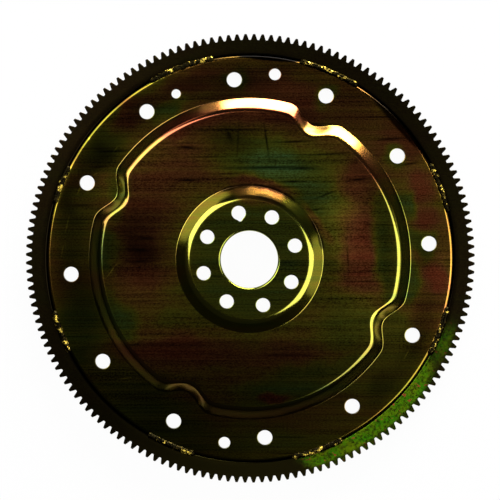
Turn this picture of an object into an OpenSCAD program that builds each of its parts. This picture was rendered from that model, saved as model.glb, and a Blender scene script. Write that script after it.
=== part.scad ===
// Flexplate: a stamped steel disc that joins an engine's crankshaft to a torque converter,
// with a starter ring gear welded to its rim.
// It lies on the back of the ring gear, hub face up. The hub face is at z = 0, on the disc's axis.
// Angles are counted from +X, which passes through a crank bolt hole.

/* [Sheet] */
// Thickness of the stamped sheet
sheet_thickness = 3; // [2.5:0.1:3.5]
// Inside radius of the bend at the foot of a wall
bend_inner_radius = 2; // [1.5:0.1:2.5]

/* [Hub] */
// Radius of the hole for the crank's pilot
pilot_radius = 22.85; // [20:0.05:25]
// Round on the front edge of the pilot hole
pilot_edge_round = 1.75; // [1:0.05:2]
// Radius at which the hub's face turns down into its wall
hub_crest_radius = 49.4; // [48:0.1:54]
// Width of the hub's wall, seen from the front
hub_wall_run = 9.7; // [8.5:0.1:11]
// Height of the hub's face over the disc
hub_rise = 5.8; // [5:0.1:7]
// Inside radius of the bend where the hub's face turns down
hub_bend_radius = 5; // [3:0.1:6]

/* [Crank bolt holes] */
// Diameter of the crank bolt circle
crank_circle = 76.2; // [72:0.1:78]
// Number of crank bolt holes
crank_count = 8; // [6:1:8]
// Radius of a crank bolt hole
crank_hole_radius = 5.6; // [5:0.1:6]
// Which hole is moved off the even spacing, so that the disc fits one way round
index_slot = 2; // [0:1:5]
// Angle by which that hole is moved
index_shift = -3.9; // [-6:0.1:6]
// Distance from that hole's centre to the tip of its notch
index_notch_reach = 7; // [6.6:0.1:7.5]
// Half the angle that the notch takes out of the hole's edge
index_notch_half_angle = 24; // [15:1:30]
// Half the width of the notch's tip
index_notch_tip = 0.5; // [0.3:0.1:1]

/* [Lobed step] */
// Height of the disc over the rim zone
step_rise = 8; // [6.5:0.1:9]
// Distance from the flange's outside in to the foot of the step's wall
step_inset = 35.1; // [34:0.1:39]
// Width of the step's wall, seen from the front
step_wall_run = 9.6; // [8.5:0.1:11]
// Inside radius of the bend where the disc turns down into the step's wall
step_bend_radius = 3.5; // [2:0.1:4.5]
// Number of dips in the step, each in line with a converter bolt hole
dip_count = 4; // [2:1:6]
// Depth of a dip, at the wall's foot
dip_depth = 11.3; // [8:0.1:13]
// Half the angle that a dip takes, at the wall's foot
dip_half_angle = 10.5; // [9:0.1:13]
// Width of the step's wall in the middle of a dip
dip_wall_run = 8; // [7.5:0.1:9]
// Angle by which a dip is wider on each side at the wall's crest
dip_flare = 1.2; // [0:0.1:2]

/* [Converter bolt holes] */
// Distance from the flange's outside in to the converter bolt circle
converter_inset = 19.75; // [18:0.05:22]
// Number of converter bolt holes
converter_count = 12; // [6:1:14]
// Angle of the first converter bolt hole
converter_start = 18.1; // [0:0.1:30]
// Radius of a converter bolt hole
converter_hole_radius = 6.05; // [5:0.05:7]

/* [Small holes] */
// Distance from the flange's outside in to the circle of the pair of small holes
pair_inset = 14.65; // [13:0.05:17]
// Angle of the first hole of the pair
pair_angle = 65.4; // [60:0.1:70]
// Radius of a hole of the pair
pair_hole_radius = 4.7; // [4:0.1:5.5]
// Distance from the flange's outside in to the middle of the single small hole
single_inset = 18.9; // [15:0.1:23]
// Angle of the single small hole
single_angle = 97.2; // [90:0.1:100]
// Radius of the single small hole
single_hole_radius = 3.7; // [3:0.1:5]

/* [Rim] */
// Radius of the rim's flange, on which the ring gear seats
flange_radius = 165; // [162:0.1:168]
// Inside radius of the bend between the rim zone and the flange
rim_bend_radius = 2; // [1.5:0.1:2.5]
// Distance from the flange's end to the back of the ring gear
flange_short = 0.5; // [0.3:0.1:2]

/* [Ring gear] */
// Thickness of the ring gear under its teeth, rounded to a whole number of teeth
ring_rim = 11.8; // [10:0.1:14]
// Pitch diameter divided by the number of teeth
tooth_module = 2.187; // [2.14:0.001:2.25]
// Pressure angle of the teeth
pressure_angle = 20; // [18:0.5:22]
// Height of a tooth outside the pitch circle
addendum = 2.17; // [1.9:0.01:2.3]
// Depth of a tooth inside the pitch circle
dedendum = 2.53; // [2.2:0.01:2.8]
// Angle of the first tooth
tooth_start = 1.789; // [0:0.001:2.195]
// Round on the tips of the teeth
tip_round = 0.4; // [0.2:0.05:0.6]
// Round at the roots of the teeth
root_round = 0.5; // [0.2:0.05:0.7]
// Width of the ring gear along the axis
ring_width = 10.4; // [9:0.1:12]
// Distance of the ring gear's front face behind the front of the rim zone
ring_setback = 0.8; // [0.4:0.1:1.4]
// Chamfer on the front edge of the ring gear's seat
ring_chamfer = 0.5; // [0.3:0.1:1]

/* [Weld beads] */
// Radius of a drop of weld
bead_radius = 2.9; // [2.5:0.1:3.3]
// Distance from the flange's outside in to the middle of a bead
bead_inset = 0.8; // [0.5:0.1:1.2]
// Distance of a bead's middle behind the ring gear's front face
bead_sink = 0.4; // [0.2:0.1:0.8]
// Spacing of the drops along a bead
bead_pitch = 3; // [2.7:0.1:3.6]
// Sideways unevenness of a bead
bead_sway = 0.2; // [0:0.05:0.4]
// Unevenness of a bead's thickness
bead_swell = 0.2; // [0:0.05:0.3]

/* [Hidden] */
$fn = 96;

// Start and end angle of each bead, as laid by hand
bead_angles = [[-3.7, 11.2], [41.1, 59.1], [83.2, 102.8], [135.9, 147.7],
               [177.9, 190.7], [222.9, 237.6], [265.1, 280.5], [314.9, 329.7]];

plate_colour = [0.32, 0.29, 0.12];
ring_colour = [0.25, 0.24, 0.14];
bead_colour = [0.3, 0.22, 0.12];

// straight steps that stand for the round of one bend
bend_steps = 4;
// columns of the lobed step's surface over one dip, and over the arc between two dips
dip_columns = 16;
arc_columns = 16;
// straight steps along the flank of a tooth
flank_steps = 3;
// how far a cutter runs past the faces it cuts
past = 1;
// how far the pieces of the sheet lap on its flats
lap = 1;

bend_outer_radius = bend_inner_radius + sheet_thickness;
rim_bend_outer_radius = rim_bend_radius + sheet_thickness;
hub_foot_radius = hub_crest_radius + hub_wall_run;
step_foot_radius = flange_radius - step_inset;
step_crest_radius = step_foot_radius - step_wall_run;
crest_dip_depth = dip_depth - step_wall_run + dip_wall_run;
crest_dip_half_angle = dip_half_angle + dip_flare;
dip_start = converter_start + 360 / converter_count;
converter_circle = 2 * (flange_radius - converter_inset);
pair_circle = 2 * (flange_radius - pair_inset);
single_circle = 2 * (flange_radius - single_inset);
inner_lap_radius = step_crest_radius - crest_dip_depth - step_bend_radius - sheet_thickness;
outer_lap_radius = step_foot_radius + bend_outer_radius;

mid_z = -hub_rise;
rim_z = mid_z - step_rise;
ring_front_z = rim_z - ring_setback;
ring_back_z = ring_front_z - ring_width;
flange_end_z = ring_back_z + flange_short;
flange_inner_radius = flange_radius - sheet_thickness;
rim_bend_centre = flange_radius - rim_bend_outer_radius;

tooth_count = round(2 * (flange_radius + ring_rim + dedendum) / tooth_module);
pitch_radius = tooth_module * tooth_count / 2;
base_radius = pitch_radius * cos(pressure_angle);
tip_radius = pitch_radius + addendum;
root_radius = pitch_radius - dedendum;

bead_circle_radius = flange_radius - bead_inset;
bead_z = ring_front_z - bead_sink;

function degrees_at(length, radius) = length / radius * 180 / PI;

function polar(radius, angle) = [radius * cos(angle), radius * sin(angle)];

// Section of the sheet over a step, from a high flat down to a low one, one thickness all along
function bend_arc(x, z, radius, from, to) =
    [for (i = [0 : bend_steps])
        let (a = from + (to - from) * i / bend_steps)
        [x + radius * sin(a), z + radius * cos(a)]];

function step_section(crest, foot, high, low, crest_bend, inner, outer) =
    let (
        crest_outer = crest_bend + sheet_thickness,
        slope = atan((high - low) / (foot - crest)),
        crest_x = crest - crest_outer * tan(slope / 2),
        crest_z = high - crest_outer,
        foot_x = foot + bend_inner_radius * tan(slope / 2),
        foot_z = low + bend_inner_radius
    )
    concat(
        [[inner, high]],
        bend_arc(crest_x, crest_z, crest_outer, 0, slope),
        bend_arc(foot_x, foot_z, bend_inner_radius, 180 + slope, 180),
        [[outer, low], [outer, low - sheet_thickness]],
        bend_arc(foot_x, foot_z, bend_outer_radius, 180, 180 + slope),
        bend_arc(crest_x, crest_z, crest_bend, slope, 0),
        [[inner, high - sheet_thickness]]
    );

// Plan of the lobed step: a circle with smooth dips
function bump(u) = u < 1 ? (1 + cos(180 * u)) / 2 : 0;

function from_dip(angle) =
    let (
        span = 360 / dip_count,
        a = (angle - dip_start) % span,
        b = a < 0 ? a + span : a
    )
    min(b, span - b);

function crest_at(angle) =
    step_crest_radius - crest_dip_depth * bump(from_dip(angle) / crest_dip_half_angle);

function foot_at(angle) =
    step_foot_radius - dip_depth * bump(from_dip(angle) / dip_half_angle);

step_angles =
    let (
        span = 360 / dip_count,
        half = crest_dip_half_angle
    )
    [for (d = [0 : dip_count - 1])
        each concat(
            [for (i = [0 : dip_columns - 1])
                dip_start + d * span - half + 2 * half * i / dip_columns],
            [for (i = [0 : arc_columns - 1])
                dip_start + d * span + half + (span - 2 * half) * i / arc_columns]
        )];

module lobed_step() {
    columns = [for (a = step_angles)
        [for (p = step_section(crest_at(a), foot_at(a), mid_z, rim_z, step_bend_radius,
                               inner_lap_radius, outer_lap_radius))
            concat(polar(p[0], a), [p[1]])]];
    n = len(columns);
    m = len(columns[0]);
    polyhedron(
        points = [for (c = columns) each c],
        faces = [for (i = [0 : n - 1], j = [0 : m - 1])
            let (
                k = (i + 1) % n,
                l = (j + 1) % m
            )
            each [[i * m + j, k * m + l, i * m + l], [i * m + j, k * m + j, k * m + l]]],
        convexity = 6
    );
}

module hub_section() {
    difference() {
        polygon(step_section(hub_crest_radius, hub_foot_radius, 0, mid_z, hub_bend_radius,
                             pilot_radius, inner_lap_radius + lap));
        difference() {
            translate([pilot_radius - past, -pilot_edge_round])
                square(pilot_edge_round + past);
            translate([pilot_radius + pilot_edge_round, -pilot_edge_round])
                circle(r = pilot_edge_round);
        }
    }
}

module rim_section() {
    translate([outer_lap_radius - lap, rim_z - sheet_thickness])
        square([rim_bend_centre - outer_lap_radius + lap, sheet_thickness]);
    translate([rim_bend_centre, rim_z - rim_bend_outer_radius])
        intersection() {
            difference() {
                circle(r = rim_bend_outer_radius);
                circle(r = rim_bend_radius);
            }
            square(rim_bend_outer_radius + past);
        }
    translate([flange_inner_radius, flange_end_z])
        square([sheet_thickness, rim_z - rim_bend_outer_radius - flange_end_z]);
}

module through_hole(circle_diameter, angle, radius) {
    rotate([0, 0, angle])
        translate([circle_diameter / 2, 0, flange_end_z])
            cylinder(r = radius, h = -flange_end_z + past);
}

module index_notch(angle) {
    near_x = crank_hole_radius * cos(index_notch_half_angle);
    near_y = crank_hole_radius * sin(index_notch_half_angle);
    rotate([0, 0, angle])
        translate([crank_circle / 2, 0, -sheet_thickness - past])
            rotate([0, 0, 180])
                linear_extrude(height = sheet_thickness + 2 * past)
                    polygon([[0, -near_y], [near_x, -near_y], [index_notch_reach, -index_notch_tip],
                             [index_notch_reach, index_notch_tip], [near_x, near_y], [0, near_y]]);
}

module crank_holes() {
    spacing = 360 / crank_count;
    for (i = [0 : crank_count - 1])
        through_hole(crank_circle, spacing * i + (i == index_slot ? index_shift : 0), crank_hole_radius);
    index_notch(spacing * index_slot + index_shift);
}

module rim_holes() {
    for (i = [0 : converter_count - 1])
        through_hole(converter_circle, converter_start + i * 360 / converter_count, converter_hole_radius);
    for (i = [0 : 1])
        through_hole(pair_circle, pair_angle + 180 * i, pair_hole_radius);
    through_hole(single_circle, single_angle, single_hole_radius);
}

module plate() {
    color(plate_colour)
        difference() {
            union() {
                rotate_extrude() hub_section();
                lobed_step();
                rotate_extrude() rim_section();
            }
            crank_holes();
            rim_holes();
        }
}

// Ring gear with involute teeth
function involute(angle) = tan(angle) * 180 / PI - angle;

function half_tooth(radius) =
    90 / tooth_count + involute(pressure_angle) - involute(acos(base_radius / radius));

// one side of a tooth from root to tip, as [radius, angle from the tooth's middle]
flank =
    let (
        low = root_radius + root_round,
        high = tip_radius - tip_round
    )
    concat(
        [[root_radius, half_tooth(root_radius) + degrees_at(root_round / 2, root_radius)]],
        [for (i = [0 : flank_steps])
            let (r = low + (high - low) * i / flank_steps)
            [r, half_tooth(r)]],
        [[tip_radius, half_tooth(tip_radius) - degrees_at(tip_round * 0.7, tip_radius)]]
    );

module tooth_outline() {
    last = len(flank) - 1;
    polygon([for (i = [0 : tooth_count - 1])
        let (middle = tooth_start + i * 360 / tooth_count)
        each concat(
            [for (p = flank) polar(p[0], middle - p[1])],
            [for (j = [0 : last]) polar(flank[last - j][0], middle + flank[last - j][1])]
        )]);
}

module ring_gear() {
    color(ring_colour)
        difference() {
            translate([0, 0, ring_back_z])
                linear_extrude(height = ring_width)
                    tooth_outline();
            translate([0, 0, ring_back_z - past])
                cylinder(r = flange_radius, h = ring_width + 2 * past);
            translate([0, 0, ring_front_z - ring_chamfer])
                cylinder(r1 = flange_radius, r2 = flange_radius + ring_chamfer + past, h = ring_chamfer + past);
        }
}

// Weld beads: a row of overlapping drops along the groove, cut back to the plate and the ring
module ring_seat_section() {
    polygon([[flange_radius, ring_back_z], [root_radius, ring_back_z], [root_radius, ring_front_z],
             [flange_radius + ring_chamfer, ring_front_z], [flange_radius, ring_front_z - ring_chamfer]]);
}

module weld_bead(k) {
    margin = degrees_at(bead_radius, bead_circle_radius);
    start = bead_angles[k][0] + margin;
    span = bead_angles[k][1] - margin - start;
    drops = round(span / degrees_at(bead_pitch, bead_circle_radius));
    color(bead_colour)
        difference() {
            for (i = [0 : drops])
                rotate([0, 0, start + span * i / drops])
                    translate([bead_circle_radius + bead_sway * sin(83 * i + 40 * k), 0, bead_z])
                        rotate([-90, 90, 0])
                            sphere(r = bead_radius + bead_swell * sin(137 * i + 71 * k));
            rotate_extrude() rim_section();
            rotate_extrude() ring_seat_section();
        }
}

module weld_bead_1() weld_bead(0);
module weld_bead_2() weld_bead(1);
module weld_bead_3() weld_bead(2);
module weld_bead_4() weld_bead(3);
module weld_bead_5() weld_bead(4);
module weld_bead_6() weld_bead(5);
module weld_bead_7() weld_bead(6);
module weld_bead_8() weld_bead(7);

plate();
ring_gear();
weld_bead_1();
weld_bead_2();
weld_bead_3();
weld_bead_4();
weld_bead_5();
weld_bead_6();
weld_bead_7();
weld_bead_8();
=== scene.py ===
"""Looks of the flexplate: a stamped disc, a starter ring gear and eight weld beads, all zinc plated."""

import math

import bmesh
import bpy
from mathutils import Matrix, Vector, noise


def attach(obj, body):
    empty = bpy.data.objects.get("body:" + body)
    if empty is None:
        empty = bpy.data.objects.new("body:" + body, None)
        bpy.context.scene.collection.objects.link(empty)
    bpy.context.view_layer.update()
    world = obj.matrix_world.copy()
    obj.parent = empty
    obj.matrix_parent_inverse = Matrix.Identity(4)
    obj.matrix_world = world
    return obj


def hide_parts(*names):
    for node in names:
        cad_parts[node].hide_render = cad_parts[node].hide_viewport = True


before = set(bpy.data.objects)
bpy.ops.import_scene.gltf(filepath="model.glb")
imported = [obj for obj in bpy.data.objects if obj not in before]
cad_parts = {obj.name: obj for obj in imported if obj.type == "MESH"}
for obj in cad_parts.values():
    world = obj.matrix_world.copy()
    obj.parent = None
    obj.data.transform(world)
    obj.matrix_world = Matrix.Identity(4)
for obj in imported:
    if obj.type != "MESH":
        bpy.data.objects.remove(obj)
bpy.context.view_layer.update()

MM = 0.001
# Angles seen in the photograph are this much larger than angles in the part's frame.
TURN = math.radians(16.8)
# The disc's axis in the photograph, and the size of a pixel on the rim.
AXIS_PX = (249.6, 259.0)
PIXEL = 0.8085 * MM
# The photograph's width and height in pixels.
PHOTO = 500

# Sizes in mm
# Bends and depths of dips are set by the highlights; the other sizes are those of the part's source.
SHEET = 3.0
HUB_BEND, STEP_BEND, FOOT_BEND, RIM_BEND = 8.0, 4.5, 1.1, 0.5
PILOT, PILOT_ROUND = 22.85, 1.75
FLANGE = 165.0
HUB_RISE, HUB_CREST, HUB_RUN = 5.8, 49.4, 9.7
STEP_RISE, STEP_INSET, STEP_RUN = 8.0, 35.1, 9.6
CREST_DIP, FOOT_DIP = 10.2, 10.9
FOOT_DIP_HALF, DIP_FLARE = 10.5, 1.2
CONVERTER_START, CONVERTER_COUNT = 18.1, 12
DIP_COUNT = 4
RING_SETBACK, RING_WIDTH, FLANGE_SHORT = 0.8, 10.4, 0.5
TEETH, MODULE, PRESSURE = 164, 2.187, math.radians(20)
ADDENDUM, DEDENDUM, TOOTH_START = 2.17, 2.53, 1.789
ROOT_ROUND, TIP_ROUND = 0.5, 0.4
BEAD_R, BEAD_INSET, BEAD_SINK = 2.9, 0.8, 0.4

HUB_FOOT = HUB_CREST + HUB_RUN
STEP_FOOT = FLANGE - STEP_INSET
STEP_CREST = STEP_FOOT - STEP_RUN
CREST_DIP_HALF = FOOT_DIP_HALF + DIP_FLARE
CONVERTER_SPAN = 360.0 / CONVERTER_COUNT
DIP_START, DIP_SPAN = CONVERTER_START + CONVERTER_SPAN, 360.0 / DIP_COUNT
MID_Z = -HUB_RISE
RIM_Z = MID_Z - STEP_RISE
RING_FRONT = RIM_Z - RING_SETBACK
RING_BACK = RING_FRONT - RING_WIDTH
FLANGE_END = RING_BACK + FLANGE_SHORT
PITCH_R = MODULE * TEETH / 2
TIP_R, ROOT_R = PITCH_R + ADDENDUM, PITCH_R - DEDENDUM
BEAD_CIRCLE, BEAD_Z = FLANGE - BEAD_INSET, RING_FRONT - BEAD_SINK
# Start and end angle of each bead.
BEADS = ((-3.7, 11.2), (41.1, 59.1), (83.2, 102.8), (135.9, 147.7),
         (177.9, 190.7), (222.9, 237.6), (265.1, 280.5), (314.9, 329.7))

# Holes in the hub, one of them moved and notched as an index, and in the rim zone.
CRANK_CIRCLE_R, CRANK_COUNT, CRANK_HOLE_R = 38.1, 8, 5.6
INDEX_HOLE, INDEX_SHIFT = 2, 3.9
NOTCH_REACH, NOTCH_HALF, NOTCH_TIP = 7.0, 24.0, 0.5
CONVERTER_INSET, CONVERTER_HOLE_R = 19.75, 6.05
PAIR_INSET, PAIR_ANGLE, PAIR_HOLE_R = 14.65, 65.4, 4.7
SINGLE_INSET, SINGLE_ANGLE, SINGLE_HOLE_R = 18.9, 97.2, 3.7

# Each hole: radius of its circle, angle, its own radius.
CRANK_ANGLES = [360.0 / CRANK_COUNT * i for i in range(CRANK_COUNT)]
CRANK_ANGLES[INDEX_HOLE] -= INDEX_SHIFT
CRANK_HOLES = [(CRANK_CIRCLE_R, angle, CRANK_HOLE_R) for angle in CRANK_ANGLES]
RIM_HOLES = [(FLANGE - CONVERTER_INSET, CONVERTER_START + CONVERTER_SPAN * i, CONVERTER_HOLE_R)
             for i in range(CONVERTER_COUNT)]
RIM_HOLES += [(FLANGE - PAIR_INSET, PAIR_ANGLE + half_turn, PAIR_HOLE_R) for half_turn in (0.0, 180.0)]
RIM_HOLES += [(FLANGE - SINGLE_INSET, SINGLE_ANGLE, SINGLE_HOLE_R)]

# The rest is of this script alone: flat strip beside a bend, broken edges, and rows between them.
MARGIN = 0.6
PILOT_BREAK, PILOT_MID = 0.2, -2.2
FLANGE_BREAK, FLANGE_MID = 0.3, -22.0
TOOTH_BREAK, ROOT_LAND = 0.22, 1.2
RING_MID, RING_LAND = -20.0, 169.5
# Length of a bead's step, of its rounded end and of a ripple.
BEAD_STEP, BEAD_CAP, RIPPLE = 0.35, 3.4, 1.7
# A bead's mean radius, its share in height, and the size of its lumps, fine lumps, ripples and sway.
BEAD_MEAN, BEAD_FLAT = BEAD_R - 0.25, 0.9
LUMP_SIZE, FINE_SIZE, RIPPLE_SIZE, SWAY = 0.32, 0.16, 0.2, 0.35
# Share of its radius that is left at a bead's very ends.
BEAD_END = 0.04

# Points round the disc, round a hole and round a bead.
COLUMNS, HOLE_POINTS, BEAD_SIDES = 384, 48, 28


# Mesh helpers
class Skin:
    """A bmesh that is sewn together from closed loops of vertices, in mm."""

    def __init__(self):
        self.bm = bmesh.new()

    def loop(self, points):
        return [self.bm.verts.new(p) for p in points]

    def bridge(self, a, b, slot=0):
        n = len(a)
        for i in range(n):
            j = (i + 1) % n
            self.bm.faces.new((a[i], a[j], b[j], b[i])).material_index = slot

    def bridge_all(self, loops, slot=0):
        for a, b in zip(loops, loops[1:]):
            self.bridge(a, b, slot)

    def fill(self, *loops):
        edges = []
        for loop in loops:
            for i, v in enumerate(loop):
                w = loop[(i + 1) % len(loop)]
                edges.append(self.bm.edges.get((v, w)) or self.bm.edges.new((v, w)))
        bmesh.ops.triangle_fill(self.bm, use_beauty=True, use_dissolve=False, edges=edges, normal=(0, 0, 1))

    def finish(self, name, sharp=40):
        bmesh.ops.recalc_face_normals(self.bm, faces=self.bm.faces)
        bmesh.ops.scale(self.bm, vec=(MM, MM, MM), verts=self.bm.verts)
        mesh = bpy.data.meshes.new(name)
        self.bm.to_mesh(mesh)
        self.bm.free()
        mesh.polygons.foreach_set("use_smooth", [True] * len(mesh.polygons))
        mesh.set_sharp_from_angle(angle=math.radians(sharp))
        obj = bpy.data.objects.new(name, mesh)
        bpy.context.scene.collection.objects.link(obj)
        return obj


def turn(radius, z, angle):
    """A point at a radius, a height and an angle in degrees about the disc's axis."""
    a = math.radians(angle)
    return (radius * math.cos(a), radius * math.sin(a), z)


def arc(x, z, radius, start, end, steps):
    """Points of a bend in the sheet's section, with angles counted from straight up."""
    angles = [start + (end - start) * i / steps for i in range(steps + 1)]
    return [(x + radius * math.sin(a), z + radius * math.cos(a)) for a in angles]


def between(a, b, steps):
    """Points on a straight line, without its ends."""
    return [(a[0] + (b[0] - a[0]) * i / steps, a[1] + (b[1] - a[1]) * i / steps) for i in range(1, steps)]


# The stamped disc
def bump(u):
    """A smooth hump that falls from 1 in the middle to 0 at its edge."""
    return (1 + math.cos(math.pi * u)) / 2 if u < 1 else 0.0


def step_radii(angle):
    """Crest and foot of the lobed step at an angle."""
    b = (angle - DIP_START) % DIP_SPAN
    d = min(b, DIP_SPAN - b)
    return STEP_CREST - CREST_DIP * bump(d / CREST_DIP_HALF), STEP_FOOT - FOOT_DIP * bump(d / FOOT_DIP_HALF)


def step_section(crest, foot, high, low, bend, back=False):
    """Front or back of the sheet over a step, from the high flat to the low one."""
    slope = math.atan2(high - low, foot - crest)
    top = (crest - (bend + SHEET) * math.tan(slope / 2), high - bend - SHEET)
    toe = (foot + FOOT_BEND * math.tan(slope / 2), low + FOOT_BEND)
    r_top, r_toe = (bend, FOOT_BEND + SHEET) if back else (bend + SHEET, FOOT_BEND)
    upper = arc(*top, r_top, 0, slope, 10)
    lower = arc(*toe, r_toe, math.pi + slope, math.pi, 8)
    return ([(upper[0][0] - MARGIN, upper[0][1])] + upper + between(upper[-1], lower[0], 4) + lower
            + [(lower[-1][0] + MARGIN, lower[-1][1])])


def hole_outline(circle, angle, radius, grow, index=False):
    """A hole's edge; the index hole has a notch towards the disc's middle."""
    cx, cy, _ = turn(circle, 0, angle)
    tip = math.degrees(math.atan(NOTCH_TIP / NOTCH_REACH))
    points = []
    for i in range(HOLE_POINTS):
        a = 360.0 * i / HOLE_POINTS
        r = radius + grow
        d = abs((a + 180) % 360 - 180)
        if index and d < NOTCH_HALF:
            drop = (NOTCH_REACH - radius) * max(0.0, d - tip) / (NOTCH_HALF - tip)
            r = max(r, NOTCH_REACH - drop + grow)
        px, py, _ = turn(r, 0, a + angle + 180)
        points.append((cx + px, cy + py))
    return points


def hole_wall(skin, hole, front, index=False):
    """Wall of a punched hole: a rolled front edge and a small break-out at the back."""
    back = front - SHEET
    # how far each loop lies outside the hole's edge, and its height
    levels = [(0.8, front), (0.2, front), (0.06, front - 0.05), (0.0, front - 0.2),
              (0.0, back + 0.25), (0.12, back), (0.6, back)]
    loops = [skin.loop([(x, y, z) for x, y in hole_outline(*hole, grow, index)]) for grow, z in levels]
    skin.bridge_all(loops[:3])
    skin.bridge_all(loops[2:6], 1)
    skin.bridge_all(loops[5:])
    return loops[0], loops[-1]


def build_plate():
    skin = Skin()
    angles = [360.0 * i / COLUMNS for i in range(COLUMNS)]

    def revolve(section):
        return [skin.loop([turn(r, z, a) for a in angles]) for r, z in section]

    def lobed(back):
        columns = []
        for a in angles:
            crest, foot = step_radii(a)
            section = step_section(crest, foot, MID_Z, RIM_Z, STEP_BEND, back)
            columns.append([turn(r, z, a) for r, z in section])
        return [skin.loop(row) for row in zip(*columns)]

    crank = [hole_wall(skin, h, 0.0, i == INDEX_HOLE) for i, h in enumerate(CRANK_HOLES)]
    rim = [hole_wall(skin, h, RIM_Z) for h in RIM_HOLES]

    pilot = [(PILOT + PILOT_BREAK, -SHEET), (PILOT, -SHEET + PILOT_BREAK), (PILOT, PILOT_MID)]
    pilot += arc(PILOT + PILOT_ROUND, -PILOT_ROUND, PILOT_ROUND, -math.pi / 2, 0, 8)
    bore = revolve(pilot + [(PILOT + PILOT_ROUND + 0.5, 0.0)])
    hub = revolve(step_section(HUB_CREST, HUB_FOOT, 0.0, MID_Z, HUB_BEND))
    step = lobed(False)
    bend = RIM_BEND + SHEET
    edge = arc(FLANGE - bend, RIM_Z - bend, bend, 0, math.pi / 2, 14)
    inside, end = FLANGE - SHEET, FLANGE_END + FLANGE_BREAK
    edge += [(FLANGE, FLANGE_MID), (FLANGE, end), (FLANGE - FLANGE_BREAK, FLANGE_END),
             (inside + FLANGE_BREAK, FLANGE_END), (inside, end), (inside, FLANGE_MID)]
    edge += arc(FLANGE - bend, RIM_Z - bend, RIM_BEND, math.pi / 2, 0, 6)
    strip = FLANGE - bend - MARGIN
    rim_edge = revolve([(strip, RIM_Z)] + edge + [(strip, RIM_Z - SHEET)])
    hub_back = revolve(step_section(HUB_CREST, HUB_FOOT, 0.0, MID_Z, HUB_BEND, True))
    step_back = lobed(True)

    for loops in (bore, hub, step, rim_edge, hub_back, step_back):
        skin.bridge_all(loops)
    skin.fill(bore[-1], hub[0], *[h[0] for h in crank])
    skin.bridge(hub[-1], step[0])
    skin.fill(step[-1], rim_edge[0], *[h[0] for h in rim])
    skin.fill(rim_edge[-1], step_back[-1], *[h[1] for h in rim])
    skin.bridge(step_back[0], hub_back[-1])
    skin.fill(hub_back[0], bore[0], *[h[1] for h in crank])
    return skin.finish("disc")


# The ring gear
def involute(a):
    return math.tan(a) - a


def half_tooth(radius):
    base = PITCH_R * math.cos(PRESSURE)
    return math.pi / 2 / TEETH + involute(PRESSURE) - involute(math.acos(base / radius))


def tooth_outline():
    """Outline of all teeth, with rounded tips and roots."""
    # half a tooth by radius and angle from its middle: the rounded root, the flank, the rounded tip
    low, high = ROOT_R + ROOT_ROUND, TIP_R - TIP_ROUND
    side = [(ROOT_R, math.pi / TEETH), (ROOT_R, half_tooth(ROOT_R) + 0.25 / ROOT_R),
            (ROOT_R + 0.14, half_tooth(ROOT_R) + 0.08 / ROOT_R)]
    side += [(low + (high - low) * i / 5, half_tooth(low + (high - low) * i / 5)) for i in range(6)]
    tip = half_tooth(TIP_R)
    side += [(TIP_R - 0.12, half_tooth(TIP_R - 0.12) - 0.08 / TIP_R), (TIP_R, tip - 0.28 / TIP_R)]
    points = []
    for i in range(TEETH):
        middle = math.radians(TOOTH_START) + 2 * math.pi * i / TEETH
        points += [(r, middle - a) for r, a in side] + [(r, middle + a) for r, a in reversed(side[1:])]
    return [(r * math.cos(a), r * math.sin(a)) for r, a in points]


def inset(points, depth):
    """An outline moved inward by a small depth."""
    out = []
    n = len(points)
    for i in range(n):
        (x0, y0), (x, y), (x1, y1) = points[i - 1], points[i], points[(i + 1) % n]
        dx, dy = x1 - x0, y1 - y0
        d = math.hypot(dx, dy)
        out.append((x - dy / d * depth, y + dx / d * depth))
    return out


def build_ring():
    skin = Skin()
    outline = tooth_outline()
    shrunk = inset(outline, TOOTH_BREAK)
    columns = [math.degrees(math.atan2(y, x)) for x, y in outline]

    def circle(r, z):
        return skin.loop([turn(r, z, a) for a in columns])

    def teeth(points, z):
        return skin.loop([(x, y, z) for x, y in points])

    # up the bore, over its chamfered front edge, out to the teeth, over them and back to the bore
    front, back, land = RING_FRONT, RING_BACK, ROOT_R - ROOT_LAND
    loops = [circle(FLANGE, RING_MID), circle(FLANGE, front - 0.5), circle(FLANGE + 0.45, front - 0.05),
             circle(FLANGE + 0.7, front), circle(RING_LAND, front), circle(land, front),
             teeth(shrunk, front), teeth(outline, front - TOOTH_BREAK),
             teeth(outline, back + TOOTH_BREAK), teeth(shrunk, back),
             circle(land, back), circle(FLANGE + 0.4, back), circle(FLANGE, back + 0.4)]
    skin.bridge_all(loops)
    skin.bridge(loops[-1], loops[0])
    return skin.finish("gear")


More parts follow.
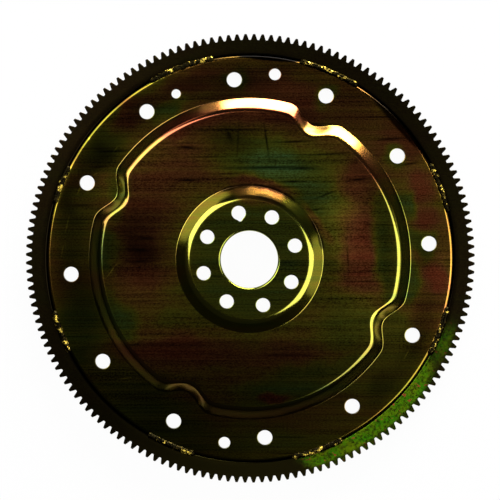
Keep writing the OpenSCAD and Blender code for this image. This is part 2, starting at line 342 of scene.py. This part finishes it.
# The weld beads
def build_bead(k):
    """A rough bead with rounded ends, laid along a circle."""
    skin = Skin()
    start, end = BEADS[k]
    reach = math.radians(end - start) * BEAD_CIRCLE
    rows = int(reach / BEAD_STEP)
    loops = []
    for i in range(rows + 1):
        u = i / rows
        s = u * reach
        cap = min(s, reach - s)
        cap = math.sqrt(max(0.0, 1 - (1 - min(1.0, cap / BEAD_CAP)) ** 2))
        cap = max(cap, BEAD_END)
        angle = math.radians(start + (end - start) * u)
        ripple = (s / RIPPLE) % 1.0
        sway = noise.noise(Vector((s * 0.22, k * 7.3, 0.0)))
        row = []
        for j in range(BEAD_SIDES):
            t = 2 * math.pi * j / BEAD_SIDES
            lump = noise.noise(Vector((s * 0.55, math.cos(t) * 1.4 + k * 3.1, math.sin(t) * 1.4)))
            fine = noise.noise(Vector((s * 1.5, math.cos(t) * 3.2, math.sin(t) * 3.2 + k * 5.7)))
            r = (BEAD_MEAN + LUMP_SIZE * lump + FINE_SIZE * fine + RIPPLE_SIZE * (ripple - 0.5)) * cap
            radial = BEAD_CIRCLE + SWAY * sway + r * math.cos(t)
            z = BEAD_Z + BEAD_FLAT * r * math.sin(t)
            row.append((radial * math.cos(angle), radial * math.sin(angle), z))
        loops.append(skin.loop(row))
    skin.bridge_all(loops)
    for loop in (loops[0], loops[-1]):
        skin.bm.faces.new(loop)
    return skin.finish("weld_%d" % (k + 1), 60)


# Material helpers
class Nodes:
    """Builds one node tree with short calls."""

    def __init__(self, name):
        self.mat = bpy.data.materials.new(name)
        self.mat.use_nodes = True
        self.tree = self.mat.node_tree
        self.tree.nodes.clear()
        self.out = self.add("ShaderNodeOutputMaterial")

    def add(self, kind, inputs=(), **props):
        node = self.tree.nodes.new(kind)
        for key, value in props.items():
            setattr(node, key, value)
        for key, value in dict(inputs).items():
            self.put(node.inputs[key], value)
        return node

    def put(self, socket, value):
        if isinstance(value, bpy.types.NodeSocket):
            self.tree.links.new(value, socket)
        else:
            socket.default_value = value

    def math(self, op, a, b=0.0, c=0.0, clamp=False):
        return self.add("ShaderNodeMath", {0: a, 1: b, 2: c}, operation=op, use_clamp=clamp).outputs[0]

    def vec(self, op, a, b=(0, 0, 0), out=0):
        return self.add("ShaderNodeVectorMath", {0: a, 1: b}, operation=op).outputs[out]

    def noise(self, vector, scale, detail=2.0, rough=0.5, distortion=0.0):
        node = self.add("ShaderNodeTexNoise", {"Vector": vector, "Scale": scale, "Detail": detail,
                                               "Roughness": rough, "Distortion": distortion})
        return node.outputs["Fac"]

    def map(self, value, lo, hi, to_lo=0.0, to_hi=1.0):
        node = self.add("ShaderNodeMapRange", {"Value": value, "From Min": lo, "From Max": hi,
                                               "To Min": to_lo, "To Max": to_hi},
                        clamp=True, interpolation_type="SMOOTHSTEP")
        return node.outputs["Result"]

    def mix(self, fac, a, b, mode="MIX"):
        node = self.add("ShaderNodeMix", data_type="RGBA", blend_type=mode)
        self.put(node.inputs[0], fac)
        self.put(node.inputs[6], a)
        self.put(node.inputs[7], b)
        return node.outputs[2]

    def ramp(self, fac, stops):
        node = self.add("ShaderNodeValToRGB", {"Fac": fac})
        elements = node.color_ramp.elements
        while len(elements) < len(stops):
            elements.new(0.5)
        for element, (position, colour) in zip(elements, stops):
            element.position = position
            element.color = (*colour, 1.0)
        return node.outputs["Color"]

    def scaled(self, vector, sx, sy, sz):
        return self.vec("MULTIPLY", vector, (sx, sy, sz))

    def photo_vector(self):
        """The part's coordinates turned to the photograph's axes, in metres."""
        coord = self.add("ShaderNodeTexCoord").outputs["Object"]
        turned = self.add("ShaderNodeMapping", {"Vector": coord, "Rotation": (0, 0, TURN)}).outputs[0]
        # handed on as a vector, because a point is converted anew at every use and fills the shader's stack
        return self.scaled(turned, 1.0, 1.0, 1.0)

    def blob(self, vector, px, py, rx, ry, tilt=0.0, core=0.0):
        """A soft patch centred on a place seen in the photograph; sizes in pixels."""
        x, y = (px - AXIS_PX[0]) * PIXEL, (AXIS_PX[1] - py) * PIXEL
        c, s = math.cos(math.radians(tilt)), math.sin(math.radians(tilt))
        along = (c / (rx * PIXEL), s / (rx * PIXEL), 0)
        across = (-s / (ry * PIXEL), c / (ry * PIXEL), 0)
        u = self.vec("DOT_PRODUCT", vector, along, out=1)
        v = self.vec("DOT_PRODUCT", vector, across, out=1)
        place = self.add("ShaderNodeCombineXYZ", {0: u, 1: v}).outputs[0]
        centre = (x * along[0] + y * along[1], x * across[0] + y * across[1], 0)
        return self.map(self.vec("DISTANCE", place, centre, out=1), 1.0, core)

    def stroke(self, vector, x0, y0, x1, y1, width):
        """A thin straight mark between two places of the photograph, pointed at its ends."""
        length = math.hypot(x1 - x0, y1 - y0)
        tilt = math.degrees(math.atan2(y0 - y1, x1 - x0))
        return self.blob(vector, (x0 + x1) / 2, (y0 + y1) / 2, length / 2, width, tilt)

    def metal(self, colour, rough, height, strength, distance, more=()):
        """Ends the tree as metal with a bumpy surface and returns the material."""
        bump_node = self.add("ShaderNodeBump", {"Height": height, "Strength": strength, "Distance": distance})
        inputs = {"Base Color": colour, "Metallic": 1.0, "Roughness": rough, "Normal": bump_node.outputs[0]}
        shader = self.add("ShaderNodeBsdfPrincipled", {**inputs, **dict(more)})
        self.tree.links.new(shader.outputs[0], self.out.inputs[0])
        return self.mat


# Materials
# Upright part of the normal on flats and on walls, and the painted shade that darkens their colour beside the
# bends.
FLAT_LEVEL, WALL_LEVEL = (0.985, 0.9985), (0.90, 0.865)
FLAT_SHADE, WALL_SHADE = 0.15, 0.5
BEND_ROUGH, WALL_ROUGH, FLAT_ROUGH = 0.10, 0.13, 0.177  # the last is added to the first
# Painted shade in the groove beside the ring, in metres from the axis: where it starts and where it ends.
GROOVE_START, GROOVE_END = (0.1631, 0.1637), (0.1668, 0.1660)
# Shades with a core from here on stay sharp; the others wander with the film.
SHARP_CORE = 0.5
# Colours of the film by its thickness.
FILM = ((0.00, (0.66, 0.14, 0.05)), (0.20, (0.64, 0.22, 0.06)), (0.38, (0.66, 0.36, 0.05)),
        (0.52, (0.56, 0.48, 0.04)), (0.66, (0.35, 0.42, 0.04)), (0.80, (0.22, 0.42, 0.09)),
        (1.00, (0.13, 0.34, 0.20)))


def warped_vector(n, at):
    """The place, shifted a little, so that what is placed by it has wandering edges."""
    warp = n.add("ShaderNodeTexNoise", {"Vector": at, "Scale": 34.0, "Detail": 3.0}).outputs["Color"]
    warp = n.vec("MULTIPLY", n.vec("SUBTRACT", warp, (0.5, 0.5, 0.5)), (0.022, 0.022, 0.0))
    return n.vec("ADD", at, warp)


def film_colour(n, at, warped, flat, patches, start, streaks):
    """Colour of the film, in patches with streaks along the rolls' way, and its fine mottling."""
    film = n.math("MULTIPLY_ADD", n.noise(n.scaled(at, 0.7, 1.3, 1.0), 30.0, 3.0, 0.55), 0.5, start - 0.25)
    for px, py, rx, ry, tilt, goal in patches:
        spot = n.blob(warped, px, py, rx, ry, tilt, 0.25)
        film = n.math("MULTIPLY_ADD", spot, n.math("SUBTRACT", goal, film), film)
    band = n.noise(n.scaled(at, 4.0, 130.0, 1.0), 1.0, 3.0, 0.6)
    film = n.math("MULTIPLY_ADD", n.math("SUBTRACT", band, 0.5), 0.42 * streaks, film)
    fine = n.noise(n.scaled(at, 0.8, 1.5, 1.0), 800.0, 2.0, 0.7)
    film = n.math("MULTIPLY_ADD", n.math("SUBTRACT", fine, 0.5), n.map(flat, 0.0, 1.0, 0.04, 0.30), film)
    return n.ramp(film, FILM), fine


def grain_tones(n, at, flat, fine, dark, streaks):
    """Tones of the grain, of wide streaks and of streaks as thin as a hair."""
    grain = n.map(fine, 0.25, 0.75, -0.60, 0.55)
    wide = n.noise(n.scaled(at, 3.0, 60.0, 1.0), 1.0, 4.0, 0.65)
    grain = n.math("ADD", grain, n.map(wide, 0.38, 0.72, 0.12, 0.12 - 0.55 * streaks))
    hair = n.noise(n.scaled(at, 7.0, 850.0, 1.0), 1.0, 2.0, 0.6)
    grain = n.math("ADD", grain, n.map(hair, 0.30, 0.70, 0.28 * streaks, -0.30 * streaks))
    grain = n.math("MULTIPLY", grain, n.map(flat, 0.0, 1.0, 0.12, 1.0))
    return n.math("MULTIPLY_ADD", grain, dark, dark)


def roll_marks(n, at, flat, strokes, streaks):
    """Long dark lines left by the rolls, and the larger ones at listed places."""
    line = n.noise(n.scaled(at, 9.0, 420.0, 1.0), 1.0, 2.0, 0.5, 0.3)
    where = n.noise(n.scaled(at, 8.0, 26.0, 1.0), 1.0, 2.0)
    mark = n.math("MULTIPLY", n.map(line, 0.57, 0.66), n.map(where, 0.44, 0.60, 0.0, 0.65 * streaks))
    for x0, y0, x1, y1, width, depth in strokes:
        mark = n.math("MAXIMUM", mark, n.math("MULTIPLY", n.stroke(at, x0, y0, x1, y1, width), depth))
    return n.math("MULTIPLY", mark, n.map(flat, 0.0, 1.0, 0.2, 0.96))


def plated(name, patches, start, strokes=(), shades=(), scratches=(),
           dark=1.0, streaks=1.0, rough_patch=None):
    """Yellow zinc plating: an interference film in patches, rolling streaks, scratches and fine grain, with
    painted light and shade in its colour.
    """
    n = Nodes(name)
    at = n.photo_vector()
    # the flats are matt and grainy and the bends were burnished by the die; the darker colour of flats and
    # walls is painted shade
    level = n.add("ShaderNodeSeparateXYZ", {0: n.add("ShaderNodeNewGeometry").outputs["Normal"]}).outputs[2]
    flat = n.map(level, *FLAT_LEVEL)
    warped = warped_vector(n, at)
    colour, fine = film_colour(n, at, warped, flat, patches, start, streaks)
    shade = grain_tones(n, at, flat, fine, dark, streaks)
    # painted light and shade at the listed places
    for px, py, rx, ry, tilt, core, gain in shades:
        spot = n.blob(warped if core < SHARP_CORE else at, px, py, rx, ry, tilt, core)
        shade = n.math("MULTIPLY", shade, n.math("MULTIPLY_ADD", spot, gain, 1.0))
    # distance from the axis, and painted shade in the groove beside the ring
    reach = n.vec("LENGTH", n.scaled(at, 1.0, 1.0, 0.0), out=1)
    groove = n.math("MULTIPLY", n.map(reach, *GROOVE_START), n.map(reach, *GROOVE_END))
    shade = n.math("MULTIPLY", shade, n.map(groove, 0.0, 1.0, 1.0, 0.10))
    mark = roll_marks(n, at, flat, strokes, streaks)
    for x0, y0, x1, y1, width, gain in scratches:
        scratch = n.stroke(at, x0, y0, x1, y1, width)
        shade = n.math("MULTIPLY", shade, n.math("MULTIPLY_ADD", scratch, gain, 1.0))
    shade = n.math("MULTIPLY", shade, n.math("SUBTRACT", 1.0, mark))
    # painted shade: flats and walls get a darker colour than the bends
    flat_shade = n.map(flat, 0.0, 1.0, 1.0, FLAT_SHADE)
    slope_shade = n.math("MULTIPLY", flat_shade, n.map(level, *WALL_LEVEL, 1.0, WALL_SHADE))
    shade = n.math("MAXIMUM", n.math("MULTIPLY", shade, slope_shade), 0.0)
    grey = n.add("ShaderNodeCombineXYZ", {0: shade, 1: shade, 2: shade}).outputs[0]
    colour = n.mix(1.0, colour, grey, "MULTIPLY")

    rough = n.map(level, *WALL_LEVEL, BEND_ROUGH, WALL_ROUGH)
    rough = n.math("ADD", rough, n.map(flat, 0.0, 1.0, 0.0, FLAT_ROUGH))
    rough = n.math("MULTIPLY_ADD", n.noise(at, 60.0, 4.0, 0.6), 0.03, rough)
    rough = n.math("MULTIPLY_ADD", mark, 0.1, rough)
    # a thin clear film on the bends, fading towards the rim
    coat = n.map(level, *reversed(WALL_LEVEL), 0.05, 0.7)
    coat = n.math("MULTIPLY", coat, n.map(flat, 0.0, 1.0, 1.0, 0.15))
    coat = n.math("MULTIPLY", coat, n.map(reach, 0.158, 0.155, 0.05, 1.0))
    if rough_patch:
        colour, rough = rough_patch(n, at, warped, reach, colour, rough)
    brushed = n.noise(n.scaled(at, 0.25, 1.0, 1.0), 900.0, 2.0)
    height = n.math("MULTIPLY_ADD", brushed, 0.6, n.math("MULTIPLY", mark, -0.8))
    return n.metal(colour, rough, height, 0.04, 0.0002, {"Coat Weight": coat, "Coat Roughness": 0.08})


# Places on the ring, in the photograph's pixels: x, y, half width, half height, tilt.
GREEN_RIGHT, GREEN_LOW = (392, 398, 78, 40, 47), (345, 440, 70, 36, 22)
GREEN_FAINT, BROWN_LOW = (443, 345, 50, 26, 68), (225, 480, 210, 90, 0)


def green_patch(n, at, warped, reach, colour, rough):
    """The ring's looks: a bright green patch at the lower right, a painted reflection, matt and with red
    dots; dull brown elsewhere, lighter towards the bottom.
    """
    # a painted reflection at the lower right, in bright green
    place = n.math("MAXIMUM", n.blob(warped, *GREEN_RIGHT), n.blob(warped, *GREEN_LOW))
    place = n.math("MAXIMUM", place, n.math("MULTIPLY", n.blob(warped, *GREEN_FAINT), 0.25))
    coarse = n.noise(at, 520.0, 4.0, 0.7)
    place = n.math("MULTIPLY", n.map(place, 0.05, 0.45), n.map(coarse, 0.34, 0.58, 0.15, 1.0))
    place = n.math("MULTIPLY", place, n.map(reach, 0.1775, 0.1745, 0.25, 1.0))
    dots = n.map(n.noise(at, 260.0, 1.0), 0.66, 0.70)
    green = n.ramp(n.noise(at, 120.0, 3.0, 0.6), ((0.35, (0.05, 0.22, 0.003)), (0.62, (0.13, 0.21, 0.004))))
    green = n.mix(dots, green, (0.28, 0.08, 0.02, 1.0))
    colour = n.mix(0.40, colour, (0.018, 0.013, 0.007, 1.0))
    colour = n.mix(n.blob(warped, *BROWN_LOW), colour, (0.040, 0.033, 0.007, 1.0))
    return n.mix(place, colour, green), n.math("MULTIPLY_ADD", place, 0.30, rough)


def punched_steel():
    """Walls of the punched holes: dull, thinly plated, scored along the punch's way."""
    n = Nodes("punched_steel")
    at = n.photo_vector()
    scores = n.noise(n.scaled(at, 1.0, 1.0, 0.1), 900.0, 3.0, 0.6)
    colour = n.ramp(scores, ((0.3, (0.05, 0.045, 0.02)), (0.7, (0.16, 0.14, 0.05))))
    height = n.noise(n.scaled(at, 1.0, 1.0, 0.06), 1800.0, 2.0)
    rough = n.map(height, 0.3, 0.7, 0.35, 0.55)
    return n.metal(colour, rough, height, 0.3, 0.0003)


def weld_metal():
    """Dark, rough weld metal with bright golden flecks."""
    n = Nodes("weld_metal")
    at = n.photo_vector()
    patch = n.noise(at, 220.0, 4.0, 0.6)
    colour = n.ramp(patch, ((0.50, (0.010, 0.008, 0.003)), (0.57, (0.05, 0.035, 0.008)),
                            (0.61, (0.95, 0.68, 0.10))))
    rough = n.map(n.noise(at, 700.0, 2.0), 0.3, 0.7, 0.15, 0.35)
    height = n.noise(at, 1200.0, 3.0, 0.6)
    return n.metal(colour, rough, height, 0.5, 0.0004, {"Specular Tint": (0.30, 0.22, 0.05, 1.0)})


# Pieces
# All places are in the photograph's pixels.
# Patches of the film: x, y, half width, half height, tilt, thickness of the film in the middle.
PLATE_PATCHES = (
    # inner disc
    (215, 160, 80, 60, 10, 0.20), (255, 116, 100, 18, 0, 0.08), (230, 148, 46, 34, 0, 0.46),
    (275, 165, 70, 40, -6, 0.77), (318, 205, 60, 38, -38, 0.72), (338, 228, 34, 30, -40, 0.50),
    (362, 255, 34, 74, 0, 0.06), (386, 250, 18, 80, 4, 0.66), (360, 180, 26, 36, -30, 0.12),
    (350, 320, 56, 40, 30, 0.60), (150, 205, 44, 60, -20, 0.16), (107, 250, 22, 34, 0, 0.70),
    (150, 262, 46, 44, 0, 0.12), (165, 312, 44, 30, -10, 0.36), (172, 318, 22, 16, -10, 0.48),
    (120, 315, 20, 44, 35, 0.68), (185, 352, 90, 22, 0, 0.08), (270, 352, 90, 18, 0, 0.14),
    (295, 384, 96, 26, 14, 0.66), (275, 396, 24, 8, 8, 0.06), (250, 188, 44, 10, 0, 0.05),
    (316, 222, 10, 34, 34, 0.08), (186, 124, 44, 14, 25, 0.04), (118, 192, 18, 40, 0, 0.60),
    (398, 330, 20, 40, -20, 0.58), (345, 372, 50, 20, 40, 0.60), (399, 255, 16, 76, 0, 0.58),
    # hub and its halo
    (250, 259, 116, 116, 0, 0.68), (250, 259, 50, 50, 0, 0.60), (262, 190, 46, 14, -6, 0.16),
    (256, 196, 34, 11, -3, 0.34),
    # rim zone, clockwise from the top
    (275, 88, 40, 22, 0, 0.12), (304, 100, 34, 24, -20, 0.10), (352, 108, 60, 30, -35, 0.24),
    (404, 142, 36, 34, -50, 0.14), (420, 188, 22, 24, 0, 0.04), (426, 219, 22, 16, 0, 0.06),
    (437, 275, 20, 26, 0, 0.0), (425, 305, 26, 22, 0, 0.3), (407, 203, 14, 26, 0, 0.68),
    (416, 240, 24, 13, 0, 0.66), (412, 282, 14, 34, 0, 0.68), (326, 96, 17, 17, 0, 0.66),
    (397, 156, 17, 17, 0, 0.66), (429, 244, 17, 17, 0, 0.66), (234, 80, 16, 16, 0, 0.6),
    (390, 375, 70, 60, 45, 0.52), (350, 425, 60, 34, 25, 0.46), (270, 446, 90, 28, 0, 0.56),
    (150, 420, 100, 60, -35, 0.60), (78, 330, 40, 66, -20, 0.62), (75, 230, 30, 64, 0, 0.52),
    (100, 140, 44, 40, 50, 0.60), (124, 114, 24, 20, 40, 0.14), (165, 112, 36, 14, 30, 0.64),
    (190, 84, 40, 18, 20, 0.2),
    # the rim's edge at the upper left
    (149, 84, 52, 9, 30, 0.52), (95, 129, 52, 9, 50, 0.53), (60, 190, 52, 9, 70, 0.50),
)


def hub_shade_lines(radius, azimuths, length, width, gain):
    """Sharp painted shades laid along a circle about the axis."""
    shades = []
    for azimuth in azimuths:
        x, y, _ = turn(radius, 0, azimuth)
        shades.append((AXIS_PX[0] + x, AXIS_PX[1] - y, length, width, azimuth - 90, SHARP_CORE, gain))
    return tuple(shades)


# Painted shade and painted light, darker or brighter where the lamps light the flats less or more, and darker
# below an edge left by a roll: x, y, half width, half height, tilt, core, gain.
PLATE_LIGHT_AND_SHADE = (
    (250, 412, 420, 75, 0, 0.94, -0.40), (250, 402, 200, 66, 0, 0.0, -0.42),
    (150, 250, 46, 16, 0, 0.0, -0.55), (80, 300, 60, 130, 0, 0.0, -0.78),
    (170, 430, 150, 60, -30, 0.0, -0.50), (265, 115, 110, 16, 0, 0.0, -0.50),
    (230, 140, 50, 22, 0, 0.0, -0.60), (130, 105, 120, 60, 40, 0.0, -0.65),
    (225, 85, 90, 34, 8, 0.0, -0.75), (350, 100, 60, 30, -35, 0.0, -0.25),
    (386, 250, 16, 80, 4, 0.0, -0.40), (338, 228, 50, 40, -40, 0.0, 1.20), (437, 275, 26, 34, 0, 0.0, 0.90),
    (420, 190, 34, 44, 0, 0.0, 0.50), (360, 270, 40, 70, 0, 0.0, 0.60), (280, 167, 70, 36, -6, 0.0, 1.25),
    (70, 205, 44, 70, 12, 0.0, -0.78), (132, 240, 48, 50, 0, 0.0, -0.62),
    (100, 152, 44, 38, 45, 0.0, -0.72), (429, 252, 22, 26, 0, 0.0, -0.50),
    (345, 196, 40, 30, -40, 0.0, 0.70),
    # painted shade hides the highlight on the rim's edge between the upper welds and at the upper right, and
    # a painted highlight brightens it at the upper left
    (280, 54, 74, 9, -4, 0.8, -0.995), (402, 120, 84, 12, -48, 0.7, -0.90), (149, 84, 44, 5, 30, 0.5, 0.60),
    (95, 129, 44, 5, 50, 0.5, 0.50), (60, 190, 44, 5, 70, 0.5, 1.20),
    # painted shade on the left and upper part of the rim zone and on the left part of the inner disc
    (86, 172, 54, 20, 62, 0.2, -0.55), (144, 108, 50, 20, 35, 0.2, -0.35), (66, 262, 24, 60, 0, 0.2, -0.40),
    (140, 230, 56, 66, 0, 0.0, -0.35), (300, 78, 60, 16, -14, 0.2, -0.30),
    (186, 85, 36, 16, 20, 0.2, -0.40), (240, 77, 40, 16, 3, 0.2, -0.35),
    # painted shade in a thin line in the upper dip, narrowing its highlight
    (318, 127, 18, 4, -8, 0.5, -0.70),
    # a painted highlight on the step's wall at the top
    (255, 107, 46, 12, -4, 0.5, 0.80), (344, 140, 26, 8, -38, 0.5, 0.50),
    # painted shade on the right part of the rim zone
    (417, 337, 50, 20, 65, 0.2, -0.55), (432, 291, 30, 20, 80, 0.2, -0.25),
    (385, 387, 40, 20, 45, 0.2, -0.45),
)
# Painted shade in thin lines along the crest and the foot of the hub's wall, narrowing their highlights, by
# their radius in pixels.
HUB_CREST_PX, HUB_FOOT_PX = 63.5, 73.0
PLATE_LIGHT_AND_SHADE += hub_shade_lines(HUB_CREST_PX, (63, 76, 110), 12, 3.5, -0.62)
PLATE_LIGHT_AND_SHADE += hub_shade_lines(HUB_FOOT_PX, (14, 26, 58, 70, 82, 94, 106), 11, 3.2, -0.78)
# Dark scratches and roll marks: from x, y to x, y, half width, depth.
PLATE_STROKES = (
    (262, 110, 271, 172, 2.2, 1.0), (240, 104, 237, 168, 1.8, 0.7), (225, 124, 234, 148, 5.0, 0.9),
    (165, 169, 376, 167, 2.5, 1.0), (266, 169, 338, 168, 3.8, 1.0), (270, 183, 314, 181, 2.5, 1.0),
    (168, 181, 210, 180, 2.8, 1.0), (172, 131, 300, 130, 2.0, 0.9), (256, 144, 332, 141, 2.5, 1.0),
    (288, 157, 374, 152, 2.1, 0.9), (334, 182, 380, 178, 2.8, 1.0), (306, 202, 346, 187, 1.9, 0.9),
    (346, 236, 348, 276, 1.9, 0.7), (360, 224, 374, 225, 2.4, 0.7), (168, 147, 207, 149, 3.2, 1.0),
    (126, 237, 168, 239, 3.0, 0.9), (108, 262, 170, 261, 3.8, 0.9), (388, 168, 430, 160, 2.5, 0.9),
    (200, 175, 262, 173, 2.2, 0.8), (364, 141, 414, 138, 2.5, 0.9), (342, 118, 412, 117, 2.1, 0.8),
    (212, 262, 236, 261, 3.2, 0.9), (268, 262, 302, 262, 3.2, 0.7), (80, 152, 152, 150, 2.5, 0.9),
    (84, 168, 114, 166, 2.5, 0.8), (128, 137, 182, 136, 2.2, 0.8), (116, 250, 162, 250, 4.0, 0.8),
    (60, 206, 102, 205, 2.4, 0.8), (298, 214, 332, 206, 1.9, 0.8), (248, 120, 302, 121, 2.0, 0.8),
    (178, 158, 242, 157, 2.0, 0.8),
)
# Thin bright scratches: from x, y to x, y, half width, gain.
PLATE_SCRATCHES = (
    (112, 154, 118, 146, 0.9, 3.0), (76, 196, 82, 184, 0.9, 2.5), (92, 176, 99, 172, 1.0, 2.0),
    (104, 282, 122, 258, 0.9, 2.5), (64, 236, 70, 212, 1.0, 2.0), (60, 262, 64, 240, 0.9, 2.0),
    (118, 380, 137, 376, 0.9, 2.5), (84, 130, 96, 122, 1.2, 2.0), (402, 362, 411, 346, 0.9, 2.0),
    (66, 352, 74, 366, 1.0, 2.0), (88, 142, 90, 136, 1.0, 2.5), (178, 142, 186, 141, 1.0, 1.5),
)

plate = build_plate()
plate.data.materials.append(plated("disc_plating", PLATE_PATCHES, start=0.36, strokes=PLATE_STROKES,
                                   shades=PLATE_LIGHT_AND_SHADE, scratches=PLATE_SCRATCHES))
plate.data.materials.append(punched_steel())
ring = build_ring()
ring.data.materials.append(plated("gear_plating", (), start=0.45, dark=0.17, streaks=0.35,
                                  rough_patch=green_patch))
beads = [build_bead(k) for k in range(len(BEADS))]
bead_material = weld_metal()

for piece, node, slot in [(plate, "plate", "plate_plating"), (ring, "ring_gear", "ring_plating")] + [
        (bead, "weld_bead_%d" % (k + 1), "weld") for k, bead in enumerate(beads)]:
    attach(piece, "root")
    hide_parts(node)
for bead in beads:
    bead.data.materials.append(bead_material)


# Floor, light, camera
FLOOR_SIZE, FLOOR_GAP = 3000.0, 0.02
# Share of the floor that is seen as plain white; the rest shows the shadow.
FLOOR_WHITE = 0.965
# The glow overhead: azimuth and zenith, half width in degrees, strength outside it and in its middle.
GLOW_AT, GLOW_HALF, GLOW_OUTSIDE, GLOW_MIDDLE = (25, 6), 21, 0.012, 0.062
# The camera stands a little off the disc's axis: azimuth and zenith, distance in metres, sensor in mm.
CAMERA_AT, CAMERA_DISTANCE, SENSOR = (45, 1.5), 1.1, 36.0


def photo_to_part(x, y, z):
    """A vector along the photograph's axes, turned into the part's frame."""
    c, s = math.cos(-TURN), math.sin(-TURN)
    return Vector((c * x - s * y, s * x + c * y, z))


def direction(azimuth, zenith):
    """Unit vector upward from the disc; azimuth as in the photograph, zenith counted from straight up."""
    a, z = math.radians(azimuth), math.radians(zenith)
    return photo_to_part(math.sin(z) * math.cos(a), math.sin(z) * math.sin(a), math.cos(z))


def facing(place, side, back):
    """Matrix of a lamp or camera at a place, which looks away from its back."""
    return Matrix.Translation(place) @ Matrix((side, back.cross(side), back)).transposed().to_4x4()


def build_floor():
    skin = Skin()
    size, low = FLOOR_SIZE, RING_BACK - FLOOR_GAP
    corners = skin.loop([(-size, -size, low), (size, -size, low), (size, size, low), (-size, size, low)])
    skin.bm.faces.new(corners)
    floor = skin.finish("floor")
    n = Nodes("floor_white")
    ray = n.add("ShaderNodeLightPath").outputs
    seen = n.math("ADD", ray["Is Camera Ray"], ray["Is Glossy Ray"])
    seen = n.math("ADD", seen, ray["Is Transmission Ray"], clamp=True)
    seen = n.math("MULTIPLY", seen, FLOOR_WHITE)
    diffuse = n.add("ShaderNodeBsdfDiffuse", {"Color": (0.9, 0.9, 0.9, 1.0)})
    white = n.add("ShaderNodeEmission", {"Color": (1, 1, 1, 1), "Strength": 1.0})
    mix = n.add("ShaderNodeMixShader", {0: seen, 1: diffuse.outputs[0], 2: white.outputs[0]})
    n.tree.links.new(mix.outputs[0], n.out.inputs[0])
    floor.data.materials.append(n.mat)


def build_world():
    """A dark studio with a dim glow overhead, a little to the right and behind."""
    world = bpy.data.worlds.new("studio")
    bpy.context.scene.world = world
    world.use_nodes = True
    tree = world.node_tree
    tree.nodes.clear()
    out = tree.nodes.new("ShaderNodeOutputWorld")
    back = tree.nodes.new("ShaderNodeBackground")
    back.inputs["Color"].default_value = (1, 1, 1, 1)
    way = tree.nodes.new("ShaderNodeTexCoord")
    dot = tree.nodes.new("ShaderNodeVectorMath")
    dot.operation = "DOT_PRODUCT"
    dot.inputs[1].default_value = direction(*GLOW_AT)
    glow = tree.nodes.new("ShaderNodeMapRange")
    glow.interpolation_type = "SMOOTHSTEP"
    for key, value in {"From Min": math.cos(math.radians(GLOW_HALF)), "From Max": 1.0,
                       "To Min": GLOW_OUTSIDE, "To Max": GLOW_MIDDLE}.items():
        glow.inputs[key].default_value = value
    tree.links.new(way.outputs["Generated"], dot.inputs[0])
    tree.links.new(dot.outputs["Value"], glow.inputs["Value"])
    tree.links.new(glow.outputs["Result"], back.inputs["Strength"])
    tree.links.new(back.outputs[0], out.inputs[0])


def softbox(name, azimuth, zenith, distance, width, height, radiance, shape="RECTANGLE"):
    """An area light that faces the disc, with a brightness that doesn't depend on its size."""
    place = direction(azimuth, zenith)
    data = bpy.data.lights.new(name, "AREA")
    data.shape = shape
    data.size, data.size_y = width, height
    data.energy = radiance * math.pi * width * height * (math.pi / 4 if shape == "ELLIPSE" else 1.0)
    lamp = bpy.data.objects.new(name, data)
    bpy.context.scene.collection.objects.link(lamp)
    side = Vector((0, 0, 1)).cross(place).normalized()
    lamp.matrix_world = facing(place * distance, side, place)


def build_camera():
    data = bpy.data.cameras.new("camera")
    data.sensor_width = SENSOR
    data.lens = SENSOR * CAMERA_DISTANCE / (PHOTO * PIXEL)
    data.clip_end = 20.0
    camera = bpy.data.objects.new("camera", data)
    bpy.context.scene.collection.objects.link(camera)
    back = direction(*CAMERA_AT)
    middle = PHOTO / 2
    aim = photo_to_part((middle - AXIS_PX[0]) * PIXEL, (AXIS_PX[1] - middle) * PIXEL, RING_FRONT * MM)
    up = photo_to_part(0, 1, 0)
    side = up.cross(back).normalized()
    camera.matrix_world = facing(aim + back * CAMERA_DISTANCE, side, back)
    bpy.context.scene.camera = camera


build_floor()
build_world()
# azimuth, zenith, distance, width, height (in metres), radiance
softbox("top_light", 74, 86, 4.0, 4.1, 2.8, 28.0, "ELLIPSE")
softbox("top_haze", 76, 86, 4.4, 5.8, 2.4, 0.9, "ELLIPSE")
softbox("top_low", 77, 63, 4.0, 2.0, 0.9, 1.15, "ELLIPSE")
softbox("left_low", 137, 65, 4.0, 4.2, 1.0, 1.05, "ELLIPSE")
softbox("right_low", -7, 65, 4.0, 3.6, 1.0, 0.75, "ELLIPSE")
softbox("left_light", 144, 36.5, 4.0, 2.3, 2.8, 3.0)
softbox("right_light", -18, 36.5, 4.0, 3.0, 2.8, 2.4)
build_camera()
bpy.context.scene.view_settings.view_transform = "Standard"
